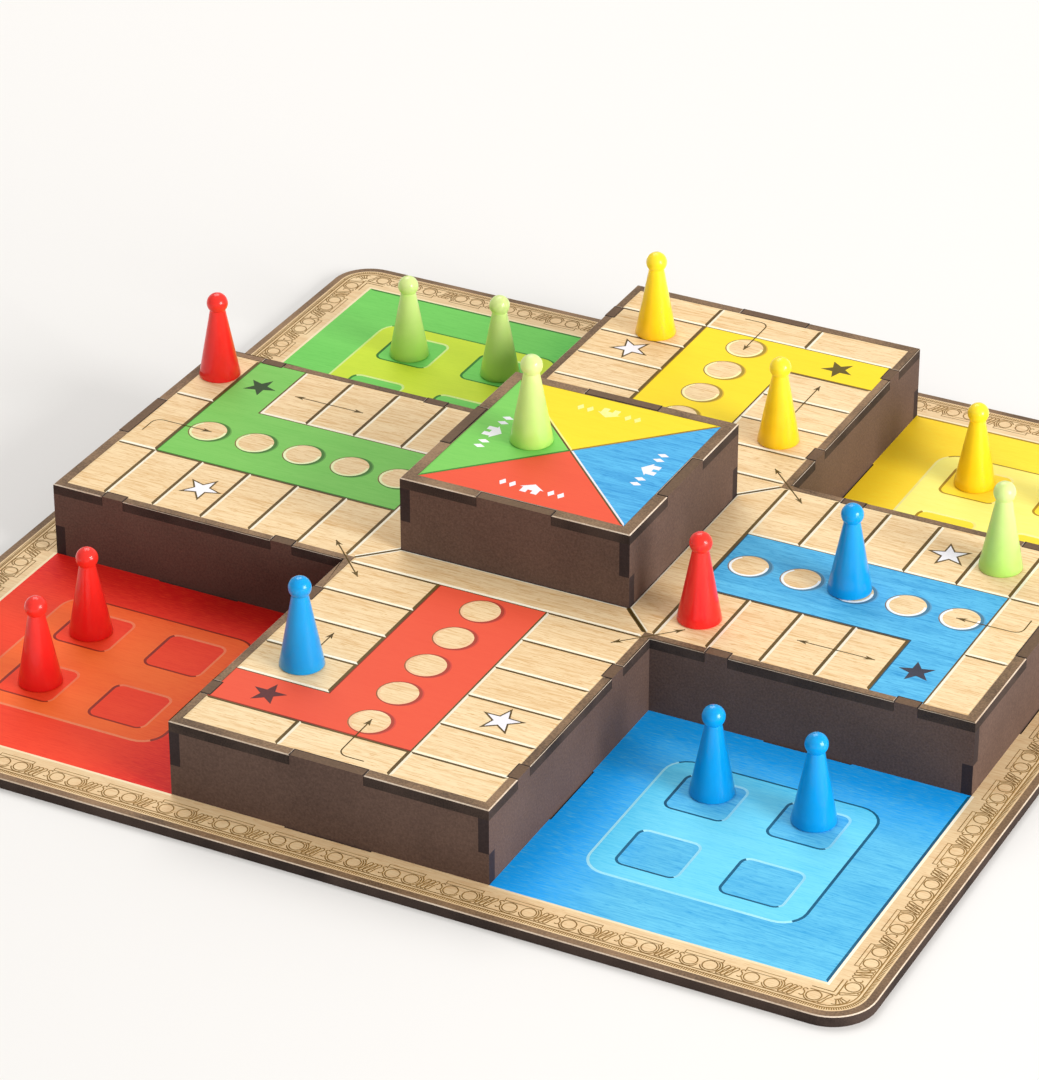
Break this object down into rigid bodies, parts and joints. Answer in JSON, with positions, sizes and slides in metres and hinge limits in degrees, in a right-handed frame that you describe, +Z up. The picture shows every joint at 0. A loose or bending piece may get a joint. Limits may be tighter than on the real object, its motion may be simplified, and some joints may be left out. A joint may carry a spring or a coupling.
{
  "type": "three-level ludo board set",
  "caption": "Ludo board with a raised hollow cross-shaped deck and a central home box, cut from thin sheet with lapped corners, with cone-shaped pawns and a die.",
  "frame": {"origin": "middle of the base board's underside", "axes": "+Z up out of the board; -Y along the red arm, +X along the blue arm, +Y along the yellow arm, -X along the green arm"},
  "size_m": [0.3, 0.3, 0.073],
  "materials": {
    "printed_board": "fibreboard faced with a printed pale wood grain, satin",
    "stained_wall": "fibreboard stained dark brown, matt",
    "red_pawn": "moulded, glossy",
    "blue_pawn": "moulded, glossy",
    "yellow_pawn": "moulded, glossy",
    "green_pawn": "moulded, glossy",
    "die": "moulded, polished"
  },
  "bodies": {
    "board": {"base_board": "printed_board"},
    "deck": {"deck_top": "printed_board", "red_arm_end_wall": "stained_wall", "red_arm_blue_side_wall": "stained_wall", "red_arm_green_side_wall": "stained_wall", "blue_arm_end_wall": "stained_wall", "blue_arm_yellow_side_wall": "stained_wall", "blue_arm_red_side_wall": "stained_wall", "yellow_arm_end_wall": "stained_wall", "yellow_arm_green_side_wall": "stained_wall", "yellow_arm_blue_side_wall": "stained_wall", "green_arm_end_wall": "stained_wall", "green_arm_red_side_wall": "stained_wall", "green_arm_yellow_side_wall": "stained_wall"},
    "home": {"home_top": "printed_board", "home_red_wall": "stained_wall", "home_blue_wall": "stained_wall", "home_yellow_wall": "stained_wall", "home_green_wall": "stained_wall"},
    "die": {"die": "die"},
    "red_pawn_1": {"red_pawn_1": "red_pawn"},
    "red_pawn_2": {"red_pawn_2": "red_pawn"},
    "red_pawn_3": {"red_pawn_3": "red_pawn"},
    "red_pawn_4": {"red_pawn_4": "red_pawn"},
    "blue_pawn_1": {"blue_pawn_1": "blue_pawn"},
    "blue_pawn_2": {"blue_pawn_2": "blue_pawn"},
    "blue_pawn_3": {"blue_pawn_3": "blue_pawn"},
    "blue_pawn_4": {"blue_pawn_4": "blue_pawn"},
    "yellow_pawn_1": {"yellow_pawn_1": "yellow_pawn"},
    "yellow_pawn_2": {"yellow_pawn_2": "yellow_pawn"},
    "yellow_pawn_3": {"yellow_pawn_3": "yellow_pawn"},
    "yellow_pawn_4": {"yellow_pawn_4": "yellow_pawn"},
    "green_pawn_1": {"green_pawn_1": "green_pawn"},
    "green_pawn_2": {"green_pawn_2": "green_pawn"},
    "green_pawn_3": {"green_pawn_3": "green_pawn"},
    "green_pawn_4": {"green_pawn_4": "green_pawn"}
  },
  "joints": [
    {"name": "deck_lift", "type": "slide", "parent": "board", "child": "deck", "axis": [0, 0, 1], "range_m": [0, 0.06]},
    {"name": "home_lift", "type": "slide", "parent": "deck", "child": "home", "axis": [0, 0, 1], "range_m": [0, 0.06]},
    {"name": "die_lift", "type": "slide", "parent": "deck", "child": "die", "axis": [0, 0, 1], "range_m": [0, 0.006]},
    {"name": "red_pawn_1_lift", "type": "slide", "parent": "board", "child": "red_pawn_1", "axis": [0, 0, 1], "range_m": [0, 0.06]},
    {"name": "red_pawn_2_lift", "type": "slide", "parent": "board", "child": "red_pawn_2", "axis": [0, 0, 1], "range_m": [0, 0.06]},
    {"name": "red_pawn_3_lift", "type": "slide", "parent": "deck", "child": "red_pawn_3", "axis": [0, 0, 1], "range_m": [0, 0.06]},
    {"name": "red_pawn_4_lift", "type": "slide", "parent": "deck", "child": "red_pawn_4", "axis": [0, 0, 1], "range_m": [0, 0.06]},
    {"name": "blue_pawn_1_lift", "type": "slide", "parent": "board", "child": "blue_pawn_1", "axis": [0, 0, 1], "range_m": [0, 0.06]},
    {"name": "blue_pawn_2_lift", "type": "slide", "parent": "board", "child": "blue_pawn_2", "axis": [0, 0, 1], "range_m": [0, 0.06]},
    {"name": "blue_pawn_3_lift", "type": "slide", "parent": "deck", "child": "blue_pawn_3", "axis": [0, 0, 1], "range_m": [0, 0.06]},
    {"name": "blue_pawn_4_lift", "type": "slide", "parent": "deck", "child": "blue_pawn_4", "axis": [0, 0, 1], "range_m": [0, 0.06]},
    {"name": "yellow_pawn_1_lift", "type": "slide", "parent": "board", "child": "yellow_pawn_1", "axis": [0, 0, 1], "range_m": [0, 0.06]},
    {"name": "yellow_pawn_2_lift", "type": "slide", "parent": "board", "child": "yellow_pawn_2", "axis": [0, 0, 1], "range_m": [0, 0.06]},
    {"name": "yellow_pawn_3_lift", "type": "slide", "parent": "deck", "child": "yellow_pawn_3", "axis": [0, 0, 1], "range_m": [0, 0.06]},
    {"name": "yellow_pawn_4_lift", "type": "slide", "parent": "deck", "child": "yellow_pawn_4", "axis": [0, 0, 1], "range_m": [0, 0.06]},
    {"name": "green_pawn_1_lift", "type": "slide", "parent": "board", "child": "green_pawn_1", "axis": [0, 0, 1], "range_m": [0, 0.06]},
    {"name": "green_pawn_2_lift", "type": "slide", "parent": "board", "child": "green_pawn_2", "axis": [0, 0, 1], "range_m": [0, 0.06]},
    {"name": "green_pawn_3_lift", "type": "slide", "parent": "deck", "child": "green_pawn_3", "axis": [0, 0, 1], "range_m": [0, 0.06]},
    {"name": "green_pawn_4_lift", "type": "slide", "parent": "home", "child": "green_pawn_4", "axis": [0, 0, 1], "range_m": [0, 0.06]}
  ]
}
